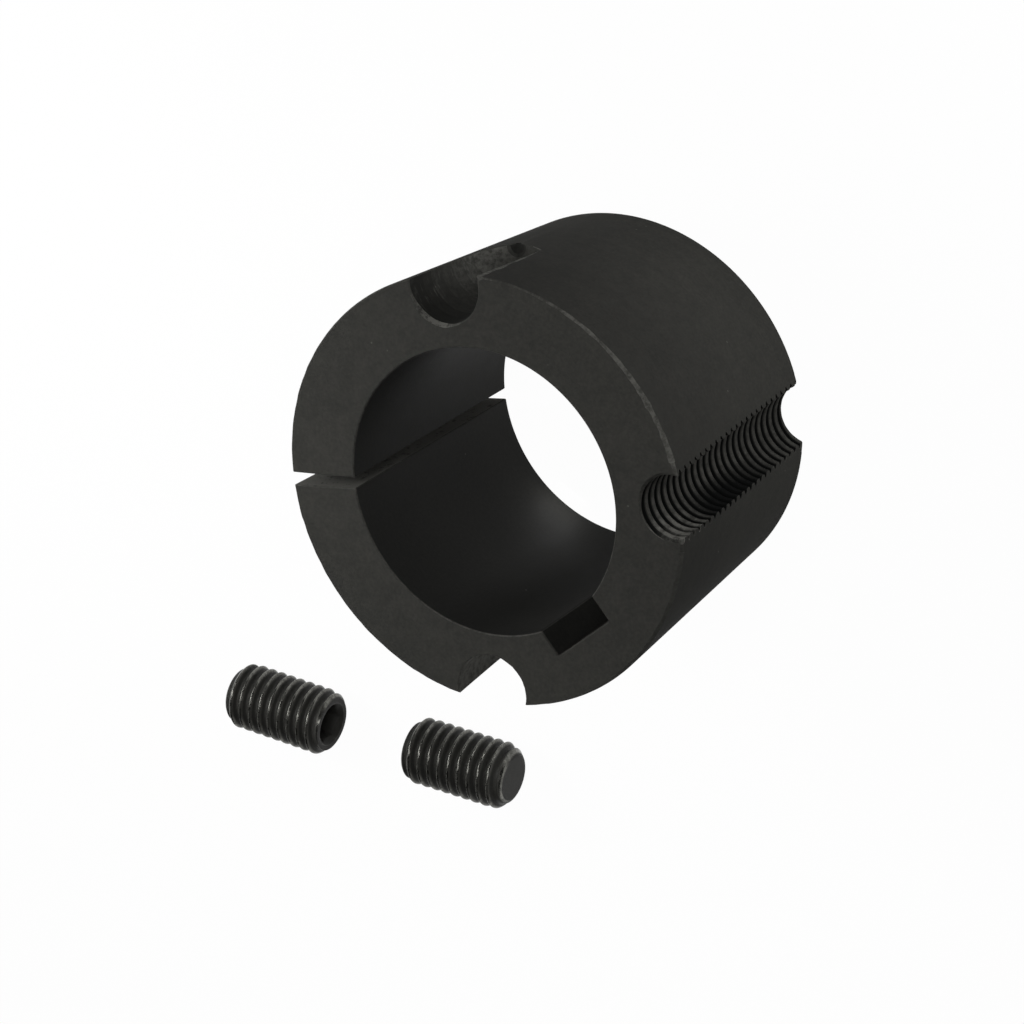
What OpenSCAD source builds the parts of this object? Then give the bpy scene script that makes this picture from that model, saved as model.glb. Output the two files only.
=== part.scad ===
// Split taper clamping bushing with its two set screws, millimetres.
//
// The bushing stands on its small end. Its bore runs along Z, the origin is
// the centre of the small end, and the split faces +X. Two blind half holes
// take the set screws that pull it into a hub, and a threaded half hole
// takes one of them to push it out again. The screws lie beside it on the
// same floor.

/* [Tapered body] */
// Diameter of the large end, where the cone would be without its edge break
large_end_d = 57.15; // [54:0.05:64]
// Length of the bushing along its bore
bushing_length = 38.1; // [34:0.1:50]
// Angle between the two sides of the cone, degrees
cone_angle = 8; // [6:0.5:10]
// Width of the break on the outer edges
edge_break = 0.4; // [0.2:0.05:1]

/* [Bore, keyway and split] */
// Wall between the bore and the rim of the large end
rim_wall = 9.525; // [8.5:0.025:12]
// Width of the break on the bore's edges
bore_break = 0.15; // [0.1:0.05:0.6]
// Width of the keyway
keyway_w = 9.525; // [6:0.025:10]
// Depth of the keyway below the bore wall, on its centre line
keyway_depth = 3.175; // [2:0.025:3.6]
// Direction of the keyway from the split, degrees
keyway_angle = 124; // [115:1:150]
// Width of the split that lets the bushing close on its shaft
split_w = 1.7; // [1:0.1:3]

/* [Screw holes] */
// How far inside the large end's rim the three half holes have their centres
hole_inset = 1.585; // [0.8:0.005:2.2]
// Diameter of the two plain half holes
plain_hole_d = 9.9; // [9.8:0.1:10.6]
// Depth of the plain half holes to the start of the drill point
plain_hole_depth = 15.8; // [15:0.1:24]
// Angle of each plain half hole from the split, degrees
plain_hole_angle = 85.5; // [75:0.5:95]
// Direction of the threaded half hole from the split, degrees
jack_hole_angle = 180; // [165:1:200]
// Diameter of the drill for the threaded half hole, before it is tapped
jack_drill_d = 8.3; // [7.9:0.05:8.7]
// Diameter of the shallow countersink over the threaded half hole
jack_mouth_d = 9; // [8.8:0.1:10]
// Width of the break round the mouths of the plain half holes
mouth_break = 0.35; // [0.1:0.05:0.6]
// Point angle of the drill, degrees
drill_point_angle = 118; // [90:1:140]

/* [Screw thread] */
// Outer diameter of the set screws
thread_d = 9.525; // [9:0.025:9.6]
// Pitch of the thread
thread_pitch = 1.5875; // [1.2:0.0125:1.8]

/* [Set screws] */
// Length of a set screw
screw_length = 15.875; // [12:0.125:16]
// Diameter of the flat face round the socket
socket_end_d = 7.7; // [7:0.1:7.8]
// Diameter of the flat point
point_d = 6.8; // [5:0.1:7.2]
// Width of the hexagon socket across its flats
socket_af = 4.7625; // [4:0.0125:5.2]
// Depth of the socket to the start of its drilled end
socket_depth = 5.5; // [4:0.1:7]
// Width of the countersink round the socket, beyond the hexagon's corners
socket_break = 0.4; // [0.1:0.05:0.6]

/* [Where the screws lie] */
// Gap from the large end's rim to the middle of the first screw, along the floor
screw_1_gap = 47.4; // [30:0.1:80]
// Direction of the first screw from the bore, degrees
screw_1_bearing = 38.9; // [30:0.1:45]
// Direction in which the first screw's point faces, degrees
screw_1_heading = -12.3; // [-30:0.1:10]
// Gap from the large end's rim to the middle of the second screw
screw_2_gap = 32.4; // [20:0.1:60]
// Direction of the second screw from the bore, degrees
screw_2_bearing = 60.7; // [55:0.1:80]
// Direction in which the second screw's point faces, degrees
screw_2_heading = 169.3; // [150:0.1:190]

/* [Hidden] */
$fn = 96;

// Overrun of a cut past the face that it opens
cut = 1;
black_oxide = [0.17, 0.17, 0.18];
screw_black = [0.24, 0.24, 0.25];

large_r = large_end_d / 2;
small_r = large_r - bushing_length * tan(cone_angle / 2);
bore_r = large_r - rim_wall;
hole_circle_r = large_r - hole_inset;
// Height of a cone of the drill's point angle, for each unit of its radius
drill_tip = 1 / tan(drill_point_angle / 2);

thread_r = thread_d / 2;
// Depth of a 60 degree thread whose crests and roots are flat
thread_depth = 5 / 8 * thread_pitch * sqrt(3) / 2;
root_r = thread_r - thread_depth;
// Width of the thread's flat crest, as a share of the pitch
crest_share = 1 / 8;
jack_core_r = jack_drill_d / 2;
// Steps of the helix in one turn, and over which each end of it fades
turn_steps = 24;
fade_steps = 8;
// Overrun of the tap past both faces, so that its thread is full at each
tap_overrun = 3;
// Plain stretch of the core between the helix and each chamfer
thread_margin = 0.1;
// Radius of a hexagon's corners, from its width across flats
socket_corner_r = socket_af / sqrt(3);

// A drilled hole with its mouth at z = 0 and its drill point downwards
module drilled(r, depth) {
    rotate([180, 0, 0])
        rotate_extrude()
            polygon([
                [0, -cut],
                [r, -cut],
                [r, depth],
                [0, depth + r * drill_tip]
            ]);
}

// A cone that breaks the edge of a hole's mouth at z = 0, from radius r
module countersink(r, width) {
    translate([0, 0, -width])
        cylinder(h = width + cut, r1 = r, r2 = r + width + cut);
}

// The turned cone with its bore and the breaks on its four edges
module turned_cone() {
    rotate_extrude()
        polygon([
            [bore_r, bore_break],
            [bore_r + bore_break, 0],
            [small_r - edge_break, 0],
            [small_r + edge_break * tan(cone_angle / 2), edge_break],
            [large_r - edge_break * tan(cone_angle / 2), bushing_length - edge_break],
            [large_r - edge_break, bushing_length],
            [bore_r + bore_break, bushing_length],
            [bore_r, bushing_length - bore_break]
        ]);
}

// Places what it is given on the hole circle, on the large end's face
module on_hole_circle(angle) {
    rotate([0, 0, angle])
        translate([hole_circle_r, 0, bushing_length])
            children();
}

module plain_half_hole(angle) {
    on_hole_circle(angle) {
        drilled(plain_hole_d / 2, plain_hole_depth);
        countersink(plain_hole_d / 2, mouth_break);
    }
}

// The threaded half hole, tapped from end to end, with its countersunk mouth.
// The countersink's cone starts inside the core, so it also meets the core's flats.
module jack_half_hole() {
    on_hole_circle(jack_hole_angle) {
        translate([0, 0, -bushing_length - tap_overrun])
            threaded_rod(bushing_length + 2 * tap_overrun, jack_core_r, jack_core_r - cut, jack_core_r - cut);
        countersink(jack_core_r - cut, jack_mouth_d / 2 - jack_core_r + cut);
    }
}

// The keyway starts inside the bore, and its floor is flat
module keyway() {
    rotate([0, 0, keyway_angle])
        translate([0, -keyway_w / 2, -cut])
            cube([bore_r + keyway_depth, keyway_w, bushing_length + 2 * cut]);
}

// The saw cut runs from the bore out through the wall
module split() {
    translate([0, -split_w / 2, -cut])
        cube([large_r + cut, split_w, bushing_length + 2 * cut]);
}

module bushing_body() {
    color(black_oxide)
        difference() {
            turned_cone();
            keyway();
            split();
            for (side = [-1, 1])
                plain_half_hole(side * plain_hole_angle);
            jack_half_hole();
        }
}

// A four-sided patch as two triangles
function patch(a, b, c, d) = [[a, b, c], [a, c, d]];

// A threaded rod from z = 0 up, with a chamfer down to the radius of each end.
// A trapezoid with 60 degree flanks climbs a right-hand helix round its core,
// each turn joins the next along its root, and plain rings close the two ends.
module threaded_rod(length, core_r, low_r, high_r) {
    // Heights on the ridge's section, as shares of the pitch: foot, crest, crest, foot
    flank = (thread_r - core_r) / sqrt(3) / thread_pitch;
    ridge_shares = [0, flank, flank + crest_share, 2 * flank + crest_share];

    low_chamfer = max(0.01, core_r - low_r);
    high_chamfer = max(0.01, core_r - high_r);
    start = low_chamfer + thread_margin;
    rise = length - high_chamfer - thread_margin - start - thread_pitch * ridge_shares[3];
    last = floor(rise / thread_pitch * turn_steps);
    turn = turn_steps;
    top = last - turn;

    // Radius that the chamfers at the two ends leave at height z
    function limit(z) = min(thread_r, low_r + z, high_r + length - z);

    // Share of the ridge's height at step i, which fades in and out at its ends
    function height(i) = min(1, i / fade_steps, (last - i) / fade_steps);

    // Radius of corner k of the ridge's section, at height z on step i
    function radius(i, k, z) =
        k == 0 || k == 3 ? core_r : core_r + height(i) * max(0, limit(z) - core_r);

    // The four corners of the ridge's section at step i of its helix
    function section(i) = [
        for (k = [0:3])
            let (
                angle = 360 * i / turn,
                z = start + thread_pitch * (i / turn + ridge_shares[k]),
                r = radius(i, k, z)
            )
            [r * cos(angle), r * sin(angle), z]
    ];

    // One ring of points round the core
    function ring(r, z) = [
        for (j = [0:turn - 1])
            [r * cos(360 * j / turn), r * sin(360 * j / turn), z]
    ];

    // Places in the list of points: corner k at step i, and point j of ring n
    function at(i, k) = 4 * i + k;
    function ring_at(n, j) = at(last + 1, 0) + n * turn + j % turn;

    polyhedron(
        points = [
            for (i = [0:last]) each section(i),
            each ring(low_r, 0),
            each ring(core_r, low_chamfer),
            each ring(core_r, length - high_chamfer),
            each ring(high_r, length)
        ],
        faces = [
            // The two flanks and the crest
            for (i = [0:last - 1], k = [0:2])
                each patch(at(i, k), at(i, k + 1), at(i + 1, k + 1), at(i + 1, k)),
            // The root, up to the next turn
            for (i = [0:top - 1])
                each patch(at(i, 3), at(i + turn, 0), at(i + turn + 1, 0), at(i + 1, 3)),
            // The core below the first turn, with the ridge's start in its last facet
            for (j = [0:turn - 2])
                each patch(ring_at(1, j), at(j, 0), at(j + 1, 0), ring_at(1, j + 1)),
            [
                ring_at(1, turn - 1), at(turn - 1, 0), at(turn, 0),
                at(0, 3), at(0, 2), at(0, 1), at(0, 0), ring_at(1, 0)
            ],
            // The core above the last turn, with the ridge's end in its first facet
            for (i = [top + 1:last - 1])
                each patch(at(i, 3), ring_at(2, i), ring_at(2, i + 1), at(i + 1, 3)),
            [
                at(top + 1, 3), at(top, 3), at(last, 0), at(last, 1), at(last, 2), at(last, 3),
                ring_at(2, last), ring_at(2, last + 1)
            ],
            // The chamfers and the two end faces
            for (n = [0, 2], j = [0:turn - 1])
                each patch(ring_at(n, j), ring_at(n + 1, j), ring_at(n + 1, j + 1), ring_at(n, j + 1)),
            [for (j = [0:turn - 1]) ring_at(0, j)],
            [for (j = [turn - 1:-1:0]) ring_at(3, j)]
        ],
        convexity = 10
    );
}

// The hexagon socket, with its countersink and the drilled end below it
module hex_socket() {
    translate([0, 0, -cut])
        cylinder(h = socket_depth + cut, r = socket_corner_r, $fn = 6);
    translate([0, 0, socket_depth])
        cylinder(h = socket_af / 2 * drill_tip, r1 = socket_af / 2, r2 = 0);
    rotate([180, 0, 0])
        countersink(socket_corner_r, socket_break);
}

// A set screw along Z, with its socket end on z = 0 and its point up
module set_screw() {
    color(screw_black)
        difference() {
            threaded_rod(screw_length, root_r, socket_end_d / 2, point_d / 2);
            hex_socket();
        }
}

// A set screw lying on the floor, turned so that its point faces the heading
module lying_screw(gap, bearing, heading) {
    rotate([0, 0, bearing])
        translate([large_r + gap, 0, thread_r])
            rotate([0, 0, heading - bearing])
                rotate([0, 90, 0])
                    translate([0, 0, -screw_length / 2])
                        set_screw();
}

module set_screw_1() {
    lying_screw(screw_1_gap, screw_1_bearing, screw_1_heading);
}

module set_screw_2() {
    lying_screw(screw_2_gap, screw_2_bearing, screw_2_heading);
}

bushing_body();
set_screw_1();
set_screw_2();
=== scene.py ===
import math

import bmesh
import bpy
import numpy as np
from mathutils import Matrix, Vector


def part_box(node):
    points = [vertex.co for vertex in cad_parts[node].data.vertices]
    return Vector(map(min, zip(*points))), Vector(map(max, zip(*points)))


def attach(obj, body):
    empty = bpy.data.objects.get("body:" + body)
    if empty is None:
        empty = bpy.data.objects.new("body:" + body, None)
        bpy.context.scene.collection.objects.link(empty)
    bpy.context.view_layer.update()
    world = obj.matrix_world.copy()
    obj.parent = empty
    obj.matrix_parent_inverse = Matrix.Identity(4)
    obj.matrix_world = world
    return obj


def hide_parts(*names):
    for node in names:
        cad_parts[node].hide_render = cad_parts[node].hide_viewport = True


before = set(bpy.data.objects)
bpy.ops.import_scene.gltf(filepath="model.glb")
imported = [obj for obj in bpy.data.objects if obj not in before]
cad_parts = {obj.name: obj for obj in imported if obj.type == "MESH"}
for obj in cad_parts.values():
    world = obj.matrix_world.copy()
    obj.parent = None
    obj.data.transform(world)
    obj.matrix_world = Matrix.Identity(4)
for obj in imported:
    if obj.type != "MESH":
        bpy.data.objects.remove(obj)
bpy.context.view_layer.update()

MM = 0.001
TURN = 2 * math.pi

# The body's cone and bore, in millimetres and radians, as its solid has them
LENGTH = 38.1
LARGE_R = 28.575
CONE_SLOPE = math.tan(math.radians(4))
SMALL_R = LARGE_R - LENGTH * CONE_SLOPE
BORE_R = 19.05
EDGE_BREAK = 0.4
BORE_BREAK = 0.15

# The split, with half its width on the outside and in the bore, and the keyway
SPLIT_HALF = 0.85
SPLIT_HALF_IN = 0.7
KEY_HALF = 4.7625
KEY_FLOOR = BORE_R + 3.175
KEY_ANGLE = math.radians(124)

# The two plain half holes, each with the point that a drill leaves
HOLE_CIRCLE_R = 26.99
PLAIN_R = 4.95
PLAIN_DEPTH = 15.8
PLAIN_ANGLE = math.radians(85.5)
DRILL_TIP = 1 / math.tan(math.radians(59))
DRILL_START = LENGTH - PLAIN_DEPTH
DRILL_END = DRILL_START - PLAIN_R * DRILL_TIP

# The tapped half hole, through which a set screw jacks the bushing out of its hub
JACK_ANGLE = math.pi
JACK_DRILL_R = 4.15
JACK_MOUTH_R = 4.5
JACK_FOOT_BREAK = 0.25
# Height at which the tap's helix starts its turns, below the small end
TAP_START = -1.9

# The thread, and the set screws with a socket of so much across its flats
THREAD_R = 4.7625
PITCH = 1.5875
THREAD_DEPTH = 5 / 8 * PITCH * math.sqrt(3) / 2
ROOT_R = THREAD_R - THREAD_DEPTH
SCREW_LENGTH = 15.875
SOCKET_END_R = 3.85
POINT_R = 3.4
SOCKET_AF = 4.7625
SOCKET_DEPTH = 5.5
SOCKET_BREAK = 0.4
# Where the screw's thread starts, above its socket end
THREAD_START = max(0.01, ROOT_R - SOCKET_END_R) + 0.1
# Directions from the socket end to the point, about the upright axis
FIRST_HEADING = math.radians(-12.3)
SECOND_HEADING = math.radians(169.3)

# Widths that only the look needs: bevels of sharp corners, breaks of the split and the keyway, the
# rounding of a screw's point and the run-out of its thread
CORNER = 0.11
LIP_BREAK = 0.16
POINT_ROUND = 0.7
RUN_OUT = 0.5
# Width of the rim's break at the large end, at angles in degrees counter-clockwise from the split,
# and the share by which it wavers
RIM_BREAKS = (
    [0, 75, 95, 150, 168, 192, 215, 240, 258, 285, 360],
    [0.22, 0.22, 0.3, 0.4, 0.45, 0.55, 0.45, 0.3, 0.24, 0.2, 0.22],
)
RIM_WAVER = 0.25
# Width of the dents in the first plain half hole's corner, at heights in millimetres
DENTS = [22, 24, 25.5, 28, 30.5, 33, 35, 36.6, 38], [0.0, 0.1, 0.35, 0.55, 0.45, 0.8, 0.6, 0.85, 0.6]

# Numbers of columns of points in each kind of wall, and of rows for each turn of a thread
RIM_COLUMNS = 52
HOLE_COLUMNS = 40
SPLIT_COLUMNS = 7
LONG_BORE_COLUMNS = 110
SHORT_BORE_COLUMNS = 60
KEY_SIDE_COLUMNS = 4
KEY_FLOOR_COLUMNS = 6
TAPPED_COLUMNS = 46
SCREW_COLUMNS = 96
TAPPED_ROWS = 20
SCREW_ROWS = 40
# Half the angle that the tapped half hole's fine rows take up, and the width of the seam beside
# them, in radians
TAPPED_BORDER = math.radians(11.8)
SEAM = 0.004

# Heights of the levels between the two edge breaks. They crowd together where the drill points of
# the plain half holes run out on the cone, from the radius at which the point first opens. A closed
# half hole has a radius of next to nothing.
FIRST_OPEN_R = 0.5
NO_R = 1e-3
STATIONS = np.concatenate([
    [1.2, 4, 7, 10, 13, 16, DRILL_END - 0.4, DRILL_END],
    DRILL_START - DRILL_TIP * (PLAIN_R - np.array([FIRST_OPEN_R, 0.7, 1, 1.4, 1.9, 2.5, 3.1, 3.7, 4.3, 4.8])),
    [DRILL_START, DRILL_START + 0.15, 23, 25.5, 28, 30.5, 33, 35, 36.6],
])
LEVELS = len(STATIONS) + 4

# The look of each wall, in the order of the outline: its painted shade, its polish, its wear and
# painted light, the wear of its top row and the wear of the corner after it. None stands for what
# changes over the wall, which wall_wear_and_painted_shading fills in from the tables below.
WALL_WEAR_AND_PAINTED_SHADING = {
    "rim_1": (None, 0, 0, None, 1.0),
    "hole_1": (None, 0, 0, None, 0.1),
    "rim_2": (None, 0, 0, 0.25, 0.3),
    # The split's walls lie in shade; their bright bare metal, a wear of 4, is painted light
    "split_1": (0, 0, 4, 0.3, 1.0),
    "long_bore": (0.45, 1, 0, 0.4, 0.2),
    "key_side_1": (0.4, 0, 0, 0.1, 0),
    "key_floor": (0.4, 0, 0, 0.1, 0),
    "key_side_2": (0.4, 0, 0, 0.1, 0.2),
    "short_bore": (None, None, 0, 0.4, 0.2),
    # The split's other wall carries the same painted light
    "split_2": (0, 0, 4, 0.3, 0.3),
    "rim_3": (None, 0, 0, 0.25, 0.3),
    # The second plain half hole's wear of 0.5 is painted light that brightens its wall
    "hole_2": (0.02, 0, 0.5, 0.2, 0.3),
    "rim_4": (None, 0, 0, 0.1, 0),
}
# Wear of the topmost faces of all corners, of the lowest row and of the seams' topmost faces
TOP_CORNER_WEAR = 0.3
FOOT_WEAR = 0.4
SEAM_WEAR = 0.8
# At heights in millimetres: painted shade on the cone and in the first plain half hole, and wear of its burr
PAINTED_CONE_SHADE = [4, 34], [0, 0.35]
PAINTED_HOLE_SHADE = [19.9, 20.4, 24, 29, 33, 35], [0.6, 0.0, 0.1, 0.2, 0.3, 0.55]
BURR_WEAR = [19.9, 20.4, 23.5, 28, 33], [0.0, 0.8, 0.8, 0.2, 0.0]
# At shares of the way across the wall: the burr's wear, and the short bore's painted shade and polish
BURR_SHARE = [0, 0.4, 0.6, 1], [0.2, 0.2, 0.7, 1]
PAINTED_BORE_SHADE = [0, 0.3, 0.5, 1], [0.6, 0.55, 0.45, 0.45]
BORE_POLISH = [0, 0.25, 0.45, 1], [0.4, 0.5, 0.9, 1]
# Place and width of the mouth's crescent, of its wear, and of the drill's rings, as such shares
CRESCENT = 0.67, 0.16
CRESCENT_WEAR = 0.67, 0.17
RINGS = 0.87, 0.1
# The rings fade in over this range of heights
RINGS_FROM = 27, 30
# At columns: wear of the first rim, which stays dark near the first plain half hole
RIM_WEAR = [0, 30, 38, 47, 50], [0.7, 0.75, 0.5, 0.05, 0.6]


# Curves and points

def bell(value, middle, width):
    """A bell of height 1 at the middle: e to the minus square of the distance over the width."""
    return np.exp(-(((value - middle) / width) ** 2))


def ripple(angle, seed):
    """An uneven line between about -1 and 1 round a circle: a sum of sines of rising frequency, with
    phases and heights drawn from the seed."""
    waves = np.arange(3, 90, 4)
    draw = np.random.default_rng(seed)
    phases = draw.uniform(0, TURN, len(waves))
    heights = draw.uniform(0.3, 1, len(waves)) / np.sqrt(len(waves))
    return np.tensordot(heights, np.sin(np.multiply.outer(waves, angle) + phases[:, None]), 1)


def along(start, end, count):
    """Evenly spaced values from start to end, which are numbers or have one value for each level."""
    share = np.linspace(0, 1, count)
    return np.asarray(start)[..., None] * (1 - share) + np.asarray(end)[..., None] * share


def turned(x, y, angle):
    """The point x, y turned about the origin by an angle: x cos - y sin, and x sin + y cos."""
    c, s = math.cos(angle), math.sin(angle)
    return c * x - s * y, s * x + c * y


def polar(radius, angle, z):
    """Points at a radius and an angle from an upright axis, at height z."""
    radius, angle, z = np.broadcast_arrays(radius, angle, z)
    return np.stack([radius * np.cos(angle), radius * np.sin(angle), z], -1)


# The body's walls

def cone_radius(z):
    """Radius of the outer cone at height z, without its edge breaks."""
    return LARGE_R - (LENGTH - z) * CONE_SLOPE


def skin_radius(z):
    """Radius of the outside at height z: the cone, cut at both ends by a 45 degree break."""
    low = SMALL_R - EDGE_BREAK + z
    high = LARGE_R - EDGE_BREAK + LENGTH - z
    return np.minimum(cone_radius(z), np.minimum(low, high))


def levels(low, high):
    """Heights and setbacks of a wall's levels. The first and the last lie in the end faces, set back
    by the widths low and high of the breaks at the small and large ends, and the next ones lie that
    far inside, with no setback. Widths may be one number or one for each column."""
    low, high = np.broadcast_arrays(np.atleast_1d(low).astype(float), np.atleast_1d(high).astype(float))
    z = np.empty((LEVELS, len(low)))
    setback = np.zeros_like(z)
    z[0], z[1], z[-2], z[-1] = 0, low, LENGTH - high, LENGTH
    z[2:-2] = STATIONS[:, None]
    setback[0], setback[-1] = low, high
    return z, setback


def rim(start, end, seed):
    """The outer cone between two angles. The break at its large end is uneven, and widest beside the
    tapped half hole."""
    middle = np.linspace(float(np.mean(start)), float(np.mean(end)), RIM_COLUMNS)
    width = np.interp(np.degrees(middle), *RIM_BREAKS) * (1 + RIM_WAVER * ripple(middle, seed))
    z, setback = levels(EDGE_BREAK, width)
    return polar(cone_radius(z) - setback, along(start, end, RIM_COLUMNS), z)


def bore_wall(start, end, count):
    """The bore between two angles."""
    z, setback = levels(BORE_BREAK, BORE_BREAK)
    return polar(BORE_R + setback, along(start, end, count), z)


def straight_wall(a, b, count, outward):
    """A flat wall between the points a and b of each level, set back sideways against outward."""
    z, setback = levels(LIP_BREAK, LIP_BREAK)
    x, y = along(a[:, 0], b[:, 0], count), along(a[:, 1], b[:, 1], count)
    return np.stack([x - setback * outward[0], y - setback * outward[1], np.broadcast_to(z, x.shape)], -1)


def opening(rho, outside):
    """Half the angle, seen from the bore's axis, over which a half hole of radius rho cuts an outside
    radius: the law of cosines."""
    share = (outside**2 + HOLE_CIRCLE_R**2 - rho**2) / (2 * outside * HOLE_CIRCLE_R)
    return np.arccos(np.clip(share, -1, 1))


def plain_half_hole(middle, mouth, dent=0.0):
    """One plain half hole: at each level an arc about the hole's axis, from edge to edge through the
    side nearest the bore, with the full radius above the drill point and down to nothing along its
    cone. Below that, its columns run down the outer cone, close together. Room for a bevel is left at
    both edges, and for the dents at the first. Returns the points, and the angles at which the wall
    before it ends and the wall after it starts."""
    z, setback = levels(EDGE_BREAK, mouth)
    outside = cone_radius(z) - setback
    radius = np.minimum(PLAIN_R, (z - DRILL_END) / DRILL_TIP)
    rho = np.maximum(radius, NO_R) + setback * (z > DRILL_START)
    is_open = rho[:, 0] >= FIRST_OPEN_R - NO_R
    half = opening(rho, outside)
    half[~is_open] = half[np.argmax(is_open)]
    corner = np.arctan2(outside * np.sin(half), outside * np.cos(half) - HOLE_CIRCLE_R)
    # A bevel takes at most a fifth of the radius, or a third of half the opening
    pull = np.minimum(CORNER, rho / 5) / rho
    share = np.linspace(0, 1, HOLE_COLUMNS)
    turn = (1 - share) * (-corner - pull) + share * (corner + pull - TURN)
    x, y = turned(HOLE_CIRCLE_R + rho * np.cos(turn), rho * np.sin(turn), middle)
    wall = np.stack([x, y, np.broadcast_to(z, turn.shape)], -1)
    closed = polar(outside, middle + half * (2 * share - 1) * 0.9, z)
    points = np.where(is_open[:, None, None], wall, closed)
    bevel = np.minimum(CORNER, half * outside / 3) / outside
    dented = np.minimum(CORNER + dent, half[:, 0] * outside[:, 0] / 3) / outside[:, 0]
    return points, middle - half[:, 0] - dented, middle + half[:, -1] + bevel[:, -1]


def mouth_breaks():
    """Widths of the breaks at the mouths of the two plain half holes, from edge to edge: narrow and
    uneven, the first with a crescent on one side where the drill ran in, and a dent at the corner
    that it shares with the rim. Each is a width plus ripples, plus a bell for each feature."""
    share = np.linspace(0, 1, HOLE_COLUMNS)
    crescent = np.clip(1.6 * bell(share, *CRESCENT), 0, 1)
    first = 0.12 + 0.04 * ripple(share * 3, 5) + 0.38 * crescent + 0.3 * bell(share, 0.0, 0.05)
    second = 0.16 + 0.05 * ripple(share * 3, 6)
    return first, second


def outline_walls():
    """The walls in their order round the bushing's outline: from the tapped half hole
    counter-clockwise to the split, back along the bore with its keyway, and on from the split to the
    tapped half hole again. Each wall is a grid of levels and columns."""
    z, setback = levels(EDGE_BREAK, EDGE_BREAK)
    outside = (cone_radius(z) - setback)[:, 0]
    inside = (BORE_R + levels(BORE_BREAK, BORE_BREAK)[1])[:, 0]
    lip = levels(LIP_BREAK, LIP_BREAK)[1][:, 0]
    heights = levels(0, 0)[0][:, 0]

    mouth_1, mouth_2 = mouth_breaks()
    hole_1, start_1, end_1 = plain_half_hole(TURN - PLAIN_ANGLE, mouth_1, np.interp(heights, *DENTS))
    hole_2, start_2, end_2 = plain_half_hole(PLAIN_ANGLE, mouth_2)

    # Angles of the split's lips and the keyway's corners, and the bevel between two walls as an angle
    half, half_in = SPLIT_HALF + lip, SPLIT_HALF_IN + lip
    lip_out = np.arcsin(half / outside)
    lip_in = np.arcsin(half_in / inside)
    key_in = np.arcsin((KEY_HALF + lip) / inside)
    bevel_out, bevel_in = CORNER / outside, CORNER / inside

    # The split's walls lie along x, one on each side of it
    reach_out, reach_in = np.sqrt(outside**2 - half**2), np.sqrt(inside**2 - half_in**2)
    ones = np.ones(LEVELS)
    split_out = np.stack([reach_out - CORNER, -SPLIT_HALF * ones], -1)
    split_in = np.stack([reach_in + CORNER, -SPLIT_HALF_IN * ones], -1)
    mirror = [1, -1]

    # The keyway, and its directions away from the bore's axis and across
    key_reach = np.sqrt(inside**2 - (KEY_HALF + lip) ** 2)
    onward = np.array(turned(1, 0, KEY_ANGLE))
    across = np.array(turned(0, 1, KEY_ANGLE))

    def key_wall(start, end, count, outward):
        """A wall of the keyway between two points, each given by its distances onward and across."""
        (x1, y1), (x2, y2) = turned(*start, KEY_ANGLE), turned(*end, KEY_ANGLE)
        a, b = np.stack([x1 * ones, y1 * ones], -1), np.stack([x2 * ones, y2 * ones], -1)
        return straight_wall(a, b, count, outward)

    return {
        "rim_1": rim(np.full(LEVELS, math.pi + TAPPED_BORDER + SEAM), start_1, 13),
        "hole_1": hole_1,
        "rim_2": rim(end_1, TURN - lip_out - bevel_out, 14),
        "split_1": straight_wall(split_out, split_in, SPLIT_COLUMNS, (0, 1)),
        "long_bore": bore_wall(TURN - lip_in - bevel_in, KEY_ANGLE + key_in + bevel_in, LONG_BORE_COLUMNS),
        "key_side_1": key_wall((key_reach + CORNER, KEY_HALF), (KEY_FLOOR - CORNER, KEY_HALF),
                               KEY_SIDE_COLUMNS, -across),
        "key_floor": key_wall((KEY_FLOOR, KEY_HALF - CORNER), (KEY_FLOOR, CORNER - KEY_HALF),
                              KEY_FLOOR_COLUMNS, -onward),
        "key_side_2": key_wall((KEY_FLOOR - CORNER, -KEY_HALF), (key_reach + CORNER, -KEY_HALF),
                               KEY_SIDE_COLUMNS, across),
        "short_bore": bore_wall(KEY_ANGLE - key_in - bevel_in, lip_in + bevel_in, SHORT_BORE_COLUMNS),
        "split_2": straight_wall(split_in * mirror, split_out * mirror, SPLIT_COLUMNS, (0, -1)),
        "rim_3": rim(lip_out + bevel_out, start_2, 11),
        "hole_2": hole_2,
        "rim_4": rim(end_2, np.full(LEVELS, math.pi - TAPPED_BORDER - SEAM), 12),
    }


# Threads

# Half the width of the furrow that rolling leaves along a crest, as a share of the pitch
FURROW_HALF = 0.02


def ridge(share, depth, window_width=0.045, furrow=0.0):
    """Height of a thread's ridge of the given depth, from 0 at its foot to 1 at its crest, at a share of
    the pitch: a trapezoid with 60 degree flanks and a flat crest of an eighth of the pitch, its
    corners rounded by averaging it over a short window. The furrow is a share of the ridge's height."""
    flank = depth / math.sqrt(3) / PITCH
    middle = flank + 1 / 16
    shares = [0, flank, middle - FURROW_HALF, middle, middle + FURROW_HALF, flank + 1 / 8, 2 * flank + 1 / 8]
    heights = [0, 1, 1, 1 - furrow, 1, 1, 0]
    window = np.linspace(-window_width, window_width, 7)
    return np.mean([np.interp(share + w, shares, heights, period=1) for w in window], 0)


def tapped_radius(z, angle):
    """Radius of the tapped half hole about its axis, the greater of the tap's helix and the cones of
    its two countersinks, and the depth of the groove, which is 0 in a countersink."""
    depth = THREAD_R - JACK_DRILL_R
    groove = ridge((z - TAP_START) / PITCH - angle / TURN, depth)
    thread = JACK_DRILL_R + depth * groove
    mouth = JACK_MOUTH_R - (LENGTH - z)
    foot = JACK_DRILL_R + JACK_FOOT_BREAK - z
    countersink = np.maximum(mouth, foot)
    return np.maximum(thread, countersink), np.where(countersink > thread, 0, groove)


def helix_height(rows, angle):
    """Height of the tap's rows, which are counted in turns: start + pitch * (row + angle / turn), held
    between the two end faces."""
    return np.clip(TAP_START + PITCH * (rows + angle / TURN), 0, LENGTH)


# Rounds after which the edge of the tapped half hole no longer moves
EDGE_ROUNDS = 12


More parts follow.
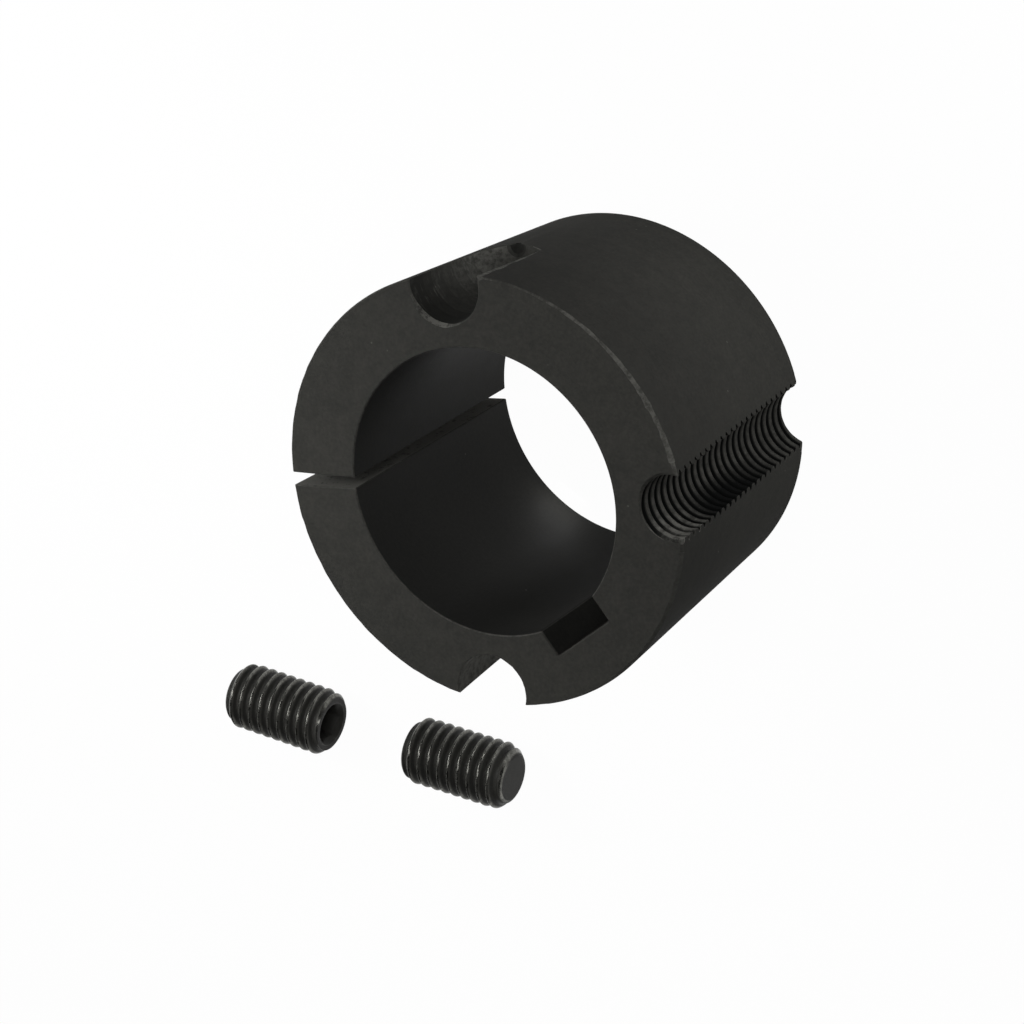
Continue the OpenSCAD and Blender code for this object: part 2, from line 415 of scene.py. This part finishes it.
def tapped_edge(rows, side):
    """Angle about the hole's axis at which the rows meet the outside, on one side of the hole. It is
    found by repeating the law of cosines, because radius and height change with it."""
    angle = np.full(rows.shape, math.pi - side * math.pi / 2)
    for _ in range(EDGE_ROUNDS):
        z = helix_height(rows, angle)
        rho = tapped_radius(z, angle)[0]
        share = (skin_radius(z)**2 - HOLE_CIRCLE_R**2 - rho**2) / (2 * HOLE_CIRCLE_R * rho)
        corner = np.arccos(np.clip(share, -1, 1))
        angle = corner if side > 0 else TURN - corner
    return angle


# Angles in degrees about the tapped hole's axis between which its wall turns into its lower side
LOWER_SIDE = 205, 255


def tapped_half_hole():
    """The tapped half hole with a strip of the cone on both sides, on rows that follow the helix.
    Returns the points and, for each, the depth of the tap's groove from 0 to 1 or -1 on the cone, and
    1 on the half hole's lower side."""
    first = math.floor((-TAP_START / PITCH - 1) * TAPPED_ROWS)
    last = math.ceil(((LENGTH - TAP_START) / PITCH) * TAPPED_ROWS)
    rows = np.arange(first, last + 1)[:, None] / TAPPED_ROWS
    near, far = tapped_edge(rows, 1), tapped_edge(rows, -1)
    bevel = CORNER * 0.8
    angle = along((far - bevel / THREAD_R)[:, 0], (near + bevel / THREAD_R)[:, 0], TAPPED_COLUMNS)
    z = helix_height(rows, angle)
    rho, groove = tapped_radius(z, angle)
    wall = np.stack([HOLE_CIRCLE_R + rho * np.cos(angle), rho * np.sin(angle), z], -1)

    # Beside each edge a strip of the cone: three columns, and the lip next to the edge
    strips = []
    for edge, side in ((far, -1), (near, 1)):
        z = helix_height(rows, edge)
        rho = tapped_radius(z, edge)[0]
        skin = skin_radius(z)
        at = np.arctan2(rho * np.sin(edge), HOLE_CIRCLE_R + rho * np.cos(edge))
        spread = side * TAPPED_BORDER - at
        beside = at + spread * np.array([1, 0.5, 0.2])
        lip = at + side * bevel / skin
        strips.append(polar(skin, np.concatenate([beside, lip], 1), z))
    left, right = strips[0], strips[1][:, ::-1]
    points = np.concatenate([left, wall, right], 1)
    points[..., 0], points[..., 1] = turned(points[..., 0], points[..., 1], JACK_ANGLE)
    lower = np.clip((np.degrees(angle) - LOWER_SIDE[0]) / (LOWER_SIDE[1] - LOWER_SIDE[0]), 0, 1)
    strip = (0, 0), (left.shape[1], right.shape[1])
    return points, np.pad(groove, strip, constant_values=-1), np.pad(lower, strip)


def screw_radius(z, angle):
    """Radius of a set screw at height z from its socket end, and the height of its thread: the thread,
    cut by a 45 degree cone at each end, with a rounded edge of the point and a soft run-out."""
    height = ridge((z - THREAD_START) / PITCH - angle / TURN, THREAD_DEPTH, window_width=0.08, furrow=0.1)
    to_point = SCREW_LENGTH - z
    rounding = np.sqrt(np.maximum(POINT_ROUND**2 - (POINT_ROUND - to_point) ** 2, 0))
    tangent = POINT_ROUND * math.tan(math.pi / 8)
    edge = POINT_R - tangent + rounding
    limit = np.where(to_point < tangent / math.sqrt(2), edge, POINT_R + to_point)
    limit = np.minimum(SOCKET_END_R + z, limit)
    radius = ROOT_R + THREAD_DEPTH * height
    gap = np.abs(radius - limit)
    blend = np.clip(1 - gap / RUN_OUT, 0, 1) ** 2 * RUN_OUT / 4
    return np.minimum(radius, limit) - blend * (to_point > RUN_OUT / 2), height


# The look as numbers on the faces: wear and painted light, painted shade, polish and the marks of the drill

def on_faces(values):
    """The mean of a grid's values at the four corners of each face."""
    return (values[:-1, :-1] + values[1:, :-1] + values[:-1, 1:] + values[1:, 1:]) / 4


def wall_wear_and_painted_shading(walls):
    """The wear and painted light, painted shade, polish and marks of the faces of all walls, from the
    tables at the top.
    """
    spans, count = {}, 0
    for name, wall in walls.items():
        spans[name] = slice(count, count + wall.shape[1] - 1)
        count += wall.shape[1]
    wear_and_painted_light, painted_shade, polish, marks = np.zeros((4, LEVELS - 1, count - 1))
    top_wear = np.full(count - 1, TOP_CORNER_WEAR)
    for name, span in spans.items():
        painted_shade[:, span], polish[:, span], wear_and_painted_light[:, span], top_wear[span], corner = WALL_WEAR_AND_PAINTED_SHADING[name]
        wear_and_painted_light[:, span.stop:span.stop + 1] = corner

    heights = levels(0, 0)[0][:, 0]
    middles = ((heights[1:] + heights[:-1]) / 2)[:, None]
    hole, bore = spans["hole_1"], spans["short_bore"]
    # The first plain half hole has rings near its mouth, a worn crescent there and a burr further down,
    # and painted shade on its wall that changes with height
    across = np.linspace(0, 1, HOLE_COLUMNS - 1)
    fade = np.clip((middles - RINGS_FROM[0]) / (RINGS_FROM[1] - RINGS_FROM[0]), 0, 1)
    marks[:, hole] = bell(across, *RINGS) * fade
    painted_shade[:, hole] = np.interp(middles, *PAINTED_HOLE_SHADE)
    top_wear[hole] = 0.1 + 2.0 * bell(across, *CRESCENT_WEAR)
    top_wear[spans["rim_1"]] = np.interp(np.arange(RIM_COLUMNS - 1), *RIM_WEAR)
    # The bore's painted shade deepens towards the keyway, where the bore also turns duller
    across_bore = np.linspace(0, 1, SHORT_BORE_COLUMNS - 1)
    painted_shade[:, bore] = np.interp(across_bore, *PAINTED_BORE_SHADE)
    polish[:, bore] = np.interp(across_bore, *BORE_POLISH)
    # The edges of the plain half holes are worn, and their walls carry painted shade, only down to the
    # drill's point
    for name in ("rim_1", "hole_1", "rim_3", "hole_2"):
        wear_and_painted_light[:, spans[name].stop] *= middles[:, 0] > DRILL_START - 1
    for name in ("hole_1", "hole_2"):
        painted_shade[:, spans[name]] *= middles > DRILL_END
    # The cone gets painted shade that deepens towards the large end
    for name in ("rim_1", "rim_2", "rim_3", "rim_4"):
        painted_shade[:, spans[name]] = np.interp(middles, *PAINTED_CONE_SHADE)
    painted_shade[0] = painted_shade[-1] = 0
    wear_and_painted_light[0], wear_and_painted_light[-1] = FOOT_WEAR, top_wear
    wear_and_painted_light[1:-1, hole] = np.interp(middles[1:-1], *BURR_WEAR) * np.interp(across, *BURR_SHARE)
    return {"wear_and_painted_light": wear_and_painted_light, "painted_shade": painted_shade, "polish": polish, "marks": marks}


def thread_wear_and_painted_shading(tapped, groove, lower):
    """The wear, painted shade and painted light of the tapped half hole's faces: painted shade in its
    grooves and along its lower side, and light on its crests near the large end that is partly wear
    and partly painted light. The strips beside it are as the cone."""
    groove, lower = on_faces(groove), on_faces(lower)
    depth_in = on_faces(LENGTH - tapped[..., 2])
    # Painted shade fills a groove soon after its edge. The lower side has painted shade 17 mm down and
    # painted light above it.
    in_groove = np.clip((groove - 0.06) / 0.3, 0, 1)
    far_shade = 1.2 * lower * bell(depth_in, 17, 8)
    near_light = lower * np.clip(1.2 - depth_in / 10, 0, 1)
    on_wall = groove > -0.4
    on_rim = (depth_in < EDGE_BREAK) & (on_faces(tapped[..., 1]) < 0)
    painted_wall_shade = np.clip(0.25 + 0.85 * in_groove + far_shade - near_light * 0.4, 0, 1.05)
    painted_cone_shade = np.interp(LENGTH - depth_in, *PAINTED_CONE_SHADE) * (depth_in > EDGE_BREAK)
    # The crests' wear, with painted light added on the lower side near the large end and taken away where
    # painted shade falls
    wall_wear_and_painted_light = np.clip(0.3 + 1.3 * near_light - in_groove - far_shade, 0, 1.3)
    blank = np.zeros(groove.shape)
    return {
        "wear_and_painted_light": np.where(on_wall, wall_wear_and_painted_light, 0.6 * on_rim),
        "painted_shade": np.where(on_wall, painted_wall_shade, painted_cone_shade),
        "polish": blank,
        "marks": blank,
    }


# Meshes

# Points closer than this, in metres, become one, and edges sharper than this, in degrees, stay sharp
MERGE_WITHIN = 2e-7
SHARP_FROM = 38
# A face with more corners than this is one of the flat end faces
MOST_CORNERS = 100


def numbered(grid, first=0):
    """The numbers of a grid's points, counted from first."""
    return first + np.arange(grid.shape[0] * grid.shape[1]).reshape(grid.shape[:2])


def quads(index):
    """The four-sided faces of a grid of point numbers."""
    return np.stack([index[:-1, :-1], index[:-1, 1:], index[1:, 1:], index[1:, :-1]], -1).reshape(-1, 4)


def finish_mesh(name, points, faces, layers, material):
    """Makes the mesh from points in millimetres, merges the points that fall together, and smooths all
    but the sharp edges and the flat end faces. Each layer has a number for each face, which the
    materials read."""
    mesh = bpy.data.meshes.new(name)
    mesh.from_pydata((points * MM).tolist(), [], faces)
    for layer, values in layers.items():
        attribute = mesh.attributes.new(layer, "FLOAT", "FACE")
        attribute.data.foreach_set("value", np.asarray(values, np.float32))
    work = bmesh.new()
    work.from_mesh(mesh)
    bmesh.ops.remove_doubles(work, verts=work.verts, dist=MERGE_WITHIN)
    work.to_mesh(mesh)
    work.free()
    mesh.shade_smooth()
    mesh.set_sharp_from_angle(angle=math.radians(SHARP_FROM))
    corner_counts = np.empty(len(mesh.polygons), np.int32)
    mesh.polygons.foreach_get("loop_total", corner_counts)
    mesh.polygons.foreach_set("use_smooth", corner_counts < MOST_CORNERS)
    piece = bpy.data.objects.new(name, mesh)
    bpy.context.scene.collection.objects.link(piece)
    mesh.materials.append(material)
    return piece


# Materials

def add(nodes, kind, **values):
    """A node of a kind, with its plain settings, and its inputs given as in_NAME."""
    node = nodes.new("ShaderNode" + kind)
    for key, value in values.items():
        if key.startswith("in_"):
            node.inputs[key[3:].replace("_", " ")].default_value = value
        else:
            setattr(node, key, value)
    return node


def feed(links, socket, value):
    """Gives a socket its value: another node's output, or a number or colour."""
    if isinstance(value, bpy.types.NodeSocket):
        links.new(value, socket)
    else:
        socket.default_value = value


def grey(value, warm=0.0):
    """A dark olive grey from a linear brightness, made a little warmer or cooler."""
    return (value * (1 + warm), value * 1.01, value * (0.94 - warm), 1)


def clear_nodes(owner):
    """The nodes and links of a material or a world, emptied, with its output node."""
    owner.use_nodes = True
    nodes, links = owner.node_tree.nodes, owner.node_tree.links
    nodes.clear()
    kind = "OutputWorld" if isinstance(owner, bpy.types.World) else "OutputMaterial"
    return nodes, links, add(nodes, kind)


# Scales of the noise in the metal's look, in waves for each metre: the patches and clouds of its
# mottling, the patches of its wear, the breaks in a drill's rings and the cells that may hold dust
PATCHES = 520
CLOUDS = 70
WEAR_PATCHES = 1100
RING_BREAKS = 700
DUST_CELLS = 430
# The rings are long round the hole and thin along it
RING_STRETCH = (250, 250, 2600)
# The share by which the mottling is darker and lighter than the base, and the brightness of dust
MOTTLING = 0.18
DUST_LIGHT = 0.12
# How far the roughness wavers, and the depth of the bump in metres
ROUGH_WAVER = 0.04
BUMP_DEPTH = 0.00004


def blackened(name, base, rough, level, fine=2300, light=0.1, polish_rough=0.5, shine=0.0, bare=0.1):
    """Blackened metal: a near-black base, mottled by three sizes of noise, with a few light specks of
    dust and a fine-grained bump. base is its brightness, rough its roughness, level its sheen, fine the
    scale of its grain. The faces' numbers change it: the painted-shade number blackens it as painted
    shade, the number for wear and painted light shows metal as bright as light and as metallic as
    shine, both where it is worn and as painted light on walls that lie in shade, with at least the share
    bare between its patches, polish takes the roughness to polish_rough, and marks adds the rings that a
    drill leaves."""
    material = bpy.data.materials.new(name)
    nodes, links, out = clear_nodes(material)
    shader = add(nodes, "BsdfPrincipled")
    links.new(shader.outputs[0], out.inputs[0])
    place = add(nodes, "TexCoord").outputs["Object"]

    def noise(scale, detail, roughness=0.55):
        """Noise of a scale in waves for each metre, between 0 and 1."""
        node = add(nodes, "TexNoise", in_Scale=scale, in_Detail=detail, in_Roughness=roughness)
        links.new(place, node.inputs["Vector"])
        return node.outputs["Fac"]

    def math_node(operation, a, b, clamp=False):
        """Two values, each a number or a socket, put together by an operation."""
        node = add(nodes, "Math", operation=operation, use_clamp=clamp)
        feed(links, node.inputs[0], a)
        feed(links, node.inputs[1], b)
        return node.outputs[0]

    def spread(value, low, high, to_low, to_high):
        """A value carried over from the range low to high to another range."""
        node = add(nodes, "MapRange", in_From_Min=low, in_From_Max=high, in_To_Min=to_low, in_To_Max=to_high)
        links.new(value, node.inputs["Value"])
        return node.outputs[0]

    def mix(factor, a, b):
        """A colour between a and b."""
        node = add(nodes, "Mix", data_type="RGBA")
        for socket, value in ((0, factor), (6, a), (7, b)):
            feed(links, node.inputs[socket], value)
        return node.outputs[2]

    def surface(layer):
        """The faces' number of a layer."""
        return add(nodes, "Attribute", attribute_name=layer).outputs["Fac"]

    # Mottling in three sizes
    grain, patches, clouds = noise(fine, 3), noise(PATCHES, 4), noise(CLOUDS, 3)
    coarse = math_node("ADD", math_node("MULTIPLY", patches, 0.3), math_node("MULTIPLY", clouds, 0.25))
    mottle = math_node("ADD", math_node("MULTIPLY", grain, 0.45), coarse)
    tone = spread(mottle, 0.35, 0.65, 0.0, 1.0)
    colour = mix(tone, grey(base * (1 - MOTTLING), 0.01), grey(base * (1 + MOTTLING), 0.03))

    # Broken rings round the upright axis, under the painted shade
    stretch = add(nodes, "Mapping", in_Scale=RING_STRETCH)
    links.new(place, stretch.inputs["Vector"])
    rings = add(nodes, "TexNoise", in_Scale=1, in_Detail=2)
    links.new(stretch.outputs[0], rings.inputs["Vector"])
    broken = spread(noise(RING_BREAKS, 2), 0.45, 0.6, 0, 1)
    ticks = math_node("MULTIPLY", spread(rings.outputs["Fac"], 0.52, 0.66, 0, 1), broken)
    scratch = math_node("MULTIPLY", ticks, surface("marks"))
    # Painted shade: the faces' painted-shade number darkens the colour towards black
    colour = mix(surface("painted_shade"), colour, grey(base * 0.1, -0.05))
    colour = mix(math_node("MULTIPLY", scratch, 0.45, clamp=True), colour, grey(light, 0.02))

    # Specks of dust, in a tenth of the cells
    cells = add(nodes, "TexVoronoi", in_Scale=DUST_CELLS, in_Randomness=1)
    links.new(place, cells.inputs["Vector"])
    near = spread(cells.outputs["Distance"], 0.03, 0.075, 1, 0)
    chosen = add(nodes, "SeparateColor")
    links.new(cells.outputs["Color"], chosen.inputs[0])
    speck = math_node("MULTIPLY", near, math_node("GREATER_THAN", chosen.outputs[0], 0.9))
    colour = mix(math_node("MULTIPLY", speck, 0.4), colour, grey(DUST_LIGHT, 0.03))

    # Worn metal, and painted light on walls that lie in shade
    patchy = spread(noise(WEAR_PATCHES, 4, 0.7), 0.38, 0.6, bare, 1)
    worn_and_painted_light = math_node("MULTIPLY", surface("wear_and_painted_light"), patchy, clamp=True)
    links.new(mix(worn_and_painted_light, colour, grey(light, 0.02)), shader.inputs["Base Color"])
    links.new(math_node("MULTIPLY", worn_and_painted_light, shine), shader.inputs["Metallic"])

    # Sheen and bump
    uneven = math_node("ADD", math_node("MULTIPLY", patches, 0.5), math_node("MULTIPLY", grain, 0.5))
    roughness = spread(uneven, 0.3, 0.7, rough - ROUGH_WAVER, rough + ROUGH_WAVER)
    smoother = math_node("MULTIPLY", surface("polish"), rough - polish_rough)
    links.new(math_node("SUBTRACT", roughness, smoother), shader.inputs["Roughness"])
    shader.inputs["Specular IOR Level"].default_value = level
    relief = add(nodes, "Bump", in_Strength=0.35, in_Distance=BUMP_DEPTH)
    links.new(math_node("ADD", grain, math_node("MULTIPLY", patches, 0.8)), relief.inputs["Height"])
    links.new(relief.outputs[0], shader.inputs["Normal"])
    return material


body_finish = blackened("blackened_cast_iron", 0.034, 0.93, 0.05)
screw_finish = blackened("blackened_steel", 0.028, 0.42, 0.06, fine=3200, light=0.15, polish_rough=0.2,
                         shine=1.0, bare=0.5)


# Pieces

def build_bushing():
    """The body: the outline's walls as one grid on coarse levels, and the tapped half hole on its own
    finer rows. Two seams, whose faces take in several rows each, and the two end faces close it."""
    walls = outline_walls()
    coarse = np.concatenate(list(walls.values()), 1)
    tapped, groove, lower = tapped_half_hole()
    index = numbered(coarse)
    fine = numbered(tapped, index.size)
    faces = quads(index).tolist() + quads(fine).tolist()

    for side, seam, is_left in ((-1, 0, True), (0, -1, False)):
        distance = np.abs(tapped[None, :, seam, 2] - coarse[:, None, side, 2])
        nearest = distance.argmin(1)
        nearest[0], nearest[-1] = 0, len(tapped) - 1
        for k in range(LEVELS - 1):
            run = fine[nearest[k]:nearest[k + 1] + 1, seam].tolist()
            below, above = index[k:k + 2, side].tolist()
            faces.append([below] + run + [above] if is_left else run[::-1] + [below, above])
    top = index[-1].tolist() + fine[-1].tolist()
    foot = index[0].tolist() + fine[0].tolist()
    faces += [top, foot[::-1]]

    wall_layers = wall_wear_and_painted_shading(walls)
    thread_layers = thread_wear_and_painted_shading(tapped, groove, lower)
    seams = {name: np.zeros(LEVELS - 1) for name in wall_layers}
    seams["wear_and_painted_light"][-1] = SEAM_WEAR
    # The seams take the cone's painted shade from the first column
    seams["painted_shade"] = wall_layers["painted_shade"][:, 0]
    end_faces = [0, 0]
    layers = {}
    for name, seam in seams.items():
        on_grids = wall_layers[name].ravel(), thread_layers[name].ravel()
        layers[name] = np.concatenate([*on_grids, seam, seam, end_faces])
    points = np.concatenate([coarse.reshape(-1, 3), tapped.reshape(-1, 3)])
    return finish_mesh("split_tapered_bushing", points, faces, layers, body_finish)


def hexagon(angle):
    """Distance from the middle of a hexagon to its side, in the direction of an angle."""
    sixth = TURN / 6
    return SOCKET_AF / 2 / np.cos(np.mod(angle, sixth) - sixth / 2)


def build_set_screw(name, node, heading):
    """A set screw: from the drilled end of its socket out over the hexagon, its countersink and the
    end face, along rows that follow the thread's helix, and over the chamfer to the flat point. It
    lies where its solid lies, turned to its heading."""
    angle = np.linspace(0, TURN, SCREW_COLUMNS + 1)

    def ring(radius, z):
        """Points round the axis at a radius and height, which may change with the angle."""
        return polar(radius, angle, z)

    side = hexagon(angle)
    countersink_r = SOCKET_AF / math.sqrt(3) + SOCKET_BREAK
    meet = countersink_r - side
    drill_r = SOCKET_AF / 2
    tip_r = 1.1
    socket = [
        ring(0, SOCKET_DEPTH + drill_r * DRILL_TIP),
        ring(tip_r, SOCKET_DEPTH + (drill_r - tip_r) * DRILL_TIP),
        ring(drill_r - 0.02, SOCKET_DEPTH),
        ring(side, SOCKET_DEPTH),
        ring(side, (SOCKET_DEPTH + meet) / 2),
        ring(side, meet + 0.05),
        ring(side + 0.05, meet - 0.03),
    ]
    lip = [ring(countersink_r - 0.04, 0.04), ring(countersink_r + 0.03, 0)]
    end_face = [ring((countersink_r + SOCKET_END_R) / 2, 0), ring(SOCKET_END_R - 0.06, 0)]

    rows = np.arange(-SCREW_ROWS - 5, math.ceil((SCREW_LENGTH - THREAD_START) / PITCH * SCREW_ROWS) + 1)
    z = np.clip(THREAD_START + PITCH * (rows[:, None] / SCREW_ROWS + angle / TURN), 0, SCREW_LENGTH)
    radius, height = screw_radius(z, angle)
    flat_r = POINT_R - POINT_ROUND * math.tan(math.pi / 8)
    point = [ring(flat_r * share, SCREW_LENGTH) for share in (0.985, 0.8, 0.55, 0.3, 0)]
    grid = np.concatenate([np.stack(socket + lip + end_face), polar(radius, angle, z), np.stack(point)])

    # The thread's crests are worn bright, and the countersink's lip a little
    crests = np.zeros(grid.shape[:2])
    crests[len(socket):len(socket + lip)] = 0.6
    crests[len(socket + lip + end_face):-len(point)] = height
    wear_and_painted_light = np.clip(((crests[:-1, :-1] + crests[1:, 1:]) / 2 - 0.45) / 0.4, 0, 1).ravel()
    blank = np.zeros(wear_and_painted_light.size)
    layers = {"wear_and_painted_light": wear_and_painted_light, "painted_shade": blank, "polish": wear_and_painted_light, "marks": blank}

    low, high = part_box(node)
    middle = (np.array(low) + np.array(high)) / 2 / MM
    middle[2] = THREAD_R
    x, y = turned(grid[..., 2] - SCREW_LENGTH / 2, grid[..., 1], heading)
    placed = np.stack([x, y, -grid[..., 0]], -1) + middle
    return finish_mesh(name, placed.reshape(-1, 3), quads(numbered(grid)).tolist(), layers, screw_finish)


bushing = build_bushing()
first_screw = build_set_screw("set_screw_socket_in_view", "set_screw_1", FIRST_HEADING)
second_screw = build_set_screw("set_screw_point_in_view", "set_screw_2", SECOND_HEADING)
for piece, node, finish in (
    (bushing, "bushing_body", "bushing_body"),
    (first_screw, "set_screw_1", "set_screw"),
    (second_screw, "set_screw_2", "set_screw"),
):
    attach(piece, "root")
    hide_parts(node)


# Floor, world and lamps

# Half the floor's width in metres, and the share of it that glows where the camera sees it
FLOOR_REACH = 3.0
FLOOR_GLOW = 0.975


def build_floor():
    """A white floor, bright to the camera and in reflections but with a trace of the object's shadow."""
    corners = [(x * FLOOR_REACH, y * FLOOR_REACH, 0) for x, y in ((-1, -1), (1, -1), (1, 1), (-1, 1))]
    mesh = bpy.data.meshes.new("floor")
    mesh.from_pydata(corners, [], [(0, 1, 2, 3)])
    floor = bpy.data.objects.new("floor", mesh)
    bpy.context.scene.collection.objects.link(floor)
    material = bpy.data.materials.new("white_paper")
    nodes, links, out = clear_nodes(material)
    paper = add(nodes, "BsdfDiffuse", in_Color=(0.7, 0.7, 0.7, 1))
    glow = add(nodes, "Emission", in_Strength=1.0)
    path = add(nodes, "LightPath")
    seen = path.outputs["Is Camera Ray"]
    for ray in ("Is Glossy Ray", "Is Transmission Ray"):
        either = add(nodes, "Math", operation="MAXIMUM")
        links.new(seen, either.inputs[0])
        links.new(path.outputs[ray], either.inputs[1])
        seen = either.outputs[0]
    share = add(nodes, "Math", operation="MULTIPLY")
    share.inputs[1].default_value = FLOOR_GLOW
    links.new(seen, share.inputs[0])
    blend = add(nodes, "MixShader")
    for socket, value in enumerate((share, paper, glow)):
        links.new(value.outputs[0], blend.inputs[socket])
    links.new(blend.outputs[0], out.inputs[0])
    mesh.materials.append(material)


def build_world():
    """A world that is white to the camera and gives no light, which all comes from the lamps."""
    world = bpy.data.worlds.new("studio")
    bpy.context.scene.world = world
    nodes, links, out = clear_nodes(world)
    dark = add(nodes, "Background", in_Color=(1, 1, 1, 1), in_Strength=0.0)
    white = add(nodes, "Background", in_Color=(1, 1, 1, 1), in_Strength=1.0)
    path = add(nodes, "LightPath")
    blend = add(nodes, "MixShader")
    for socket, value in enumerate((path.outputs["Is Camera Ray"], dark.outputs[0], white.outputs[0])):
        links.new(value, blend.inputs[socket])
    links.new(blend.outputs[0], out.inputs[0])


def square_lamp(name, direction, distance, size, power, aim):
    """A square lamp of a power in watts, that looks at a point from a direction."""
    light = bpy.data.lights.new(name, "AREA")
    light.shape = "SQUARE"
    light.size = size
    light.energy = power
    lamp = bpy.data.objects.new(name, light)
    towards = Vector(direction).normalized()
    lamp.location = Vector(aim) + towards * distance
    lamp.rotation_mode = "QUATERNION"
    lamp.rotation_quaternion = towards.to_track_quat("Z", "Y")
    bpy.context.scene.collection.objects.link(lamp)
    return lamp


def softbox(name, direction, distance, size, strength, aim=(0, 0, 0.02)):
    """A square lamp whose power makes the given brightness on a white card at the point that it
    looks at: strength * pi squared * distance squared."""
    return square_lamp(name, direction, distance, size, strength * math.pi * math.pi * distance**2, aim)


build_floor()
build_world()
# Each lamp's name, the direction it shines from, its distance, its width, its brightness and its aim
softbox("high_softbox", (-0.253, -0.177, 0.951), 0.8, 0.4, 0.3)
softbox("left_softbox", (0.455, 0.455, 0.766), 0.8, 0.4, 0.09)
softbox("face_softbox", (0.791, -0.212, 0.574), 0.13, 0.07, 1.15, (0.02, -0.005, 0.038))
softbox("back_softbox", (-0.87, -0.49, 0.075), 0.11, 0.05, 0.8, (-0.025, -0.012, 0.004))
softbox("low_softbox", (-0.41, -0.74, 0.53), 0.8, 0.2, 0.1, (0.045, 0.05, 0.005))
softbox("fill_softbox", (-0.511, -0.312, 0.801), 0.8, 0.2, 0.08)
# Two small lamps that stay out of the picture: in front of the second plain half hole, and at the
# foot of the bore, where the floor glows
side = softbox("side_softbox", (-0.45, 0.88, 0.15), 0.03, 0.015, 0.45, (0.003, 0.0255, 0.032))
glow = square_lamp("bore_glow", (-0.52, -0.69, -0.5), 0.003, 0.005, 0.0003, (0.0115, 0.0152, 0.002))
side.visible_camera = glow.visible_camera = False

# The camera, at the photograph's place and turned about its own axis
CAMERA_AT = Vector((-277.218, -164.315, 465.900)) * MM
LOOKS_AT = Vector((8.10, 9.62, 19.05)) * MM
ROLL = math.radians(-122.675)
LENS = 150.224
camera_data = bpy.data.cameras.new("camera")
camera_data.lens = LENS
camera_data.sensor_width = 36
camera_data.clip_start = 0.01
camera = bpy.data.objects.new("camera", camera_data)
camera.location = CAMERA_AT
camera.rotation_mode = "QUATERNION"
level_view = (LOOKS_AT - CAMERA_AT).to_track_quat("-Z", "Y")
camera.rotation_quaternion = level_view @ Matrix.Rotation(ROLL, 4, "Z").to_quaternion()
bpy.context.scene.collection.objects.link(camera)
bpy.context.scene.camera = camera

bpy.context.scene.view_settings.view_transform = "Standard"
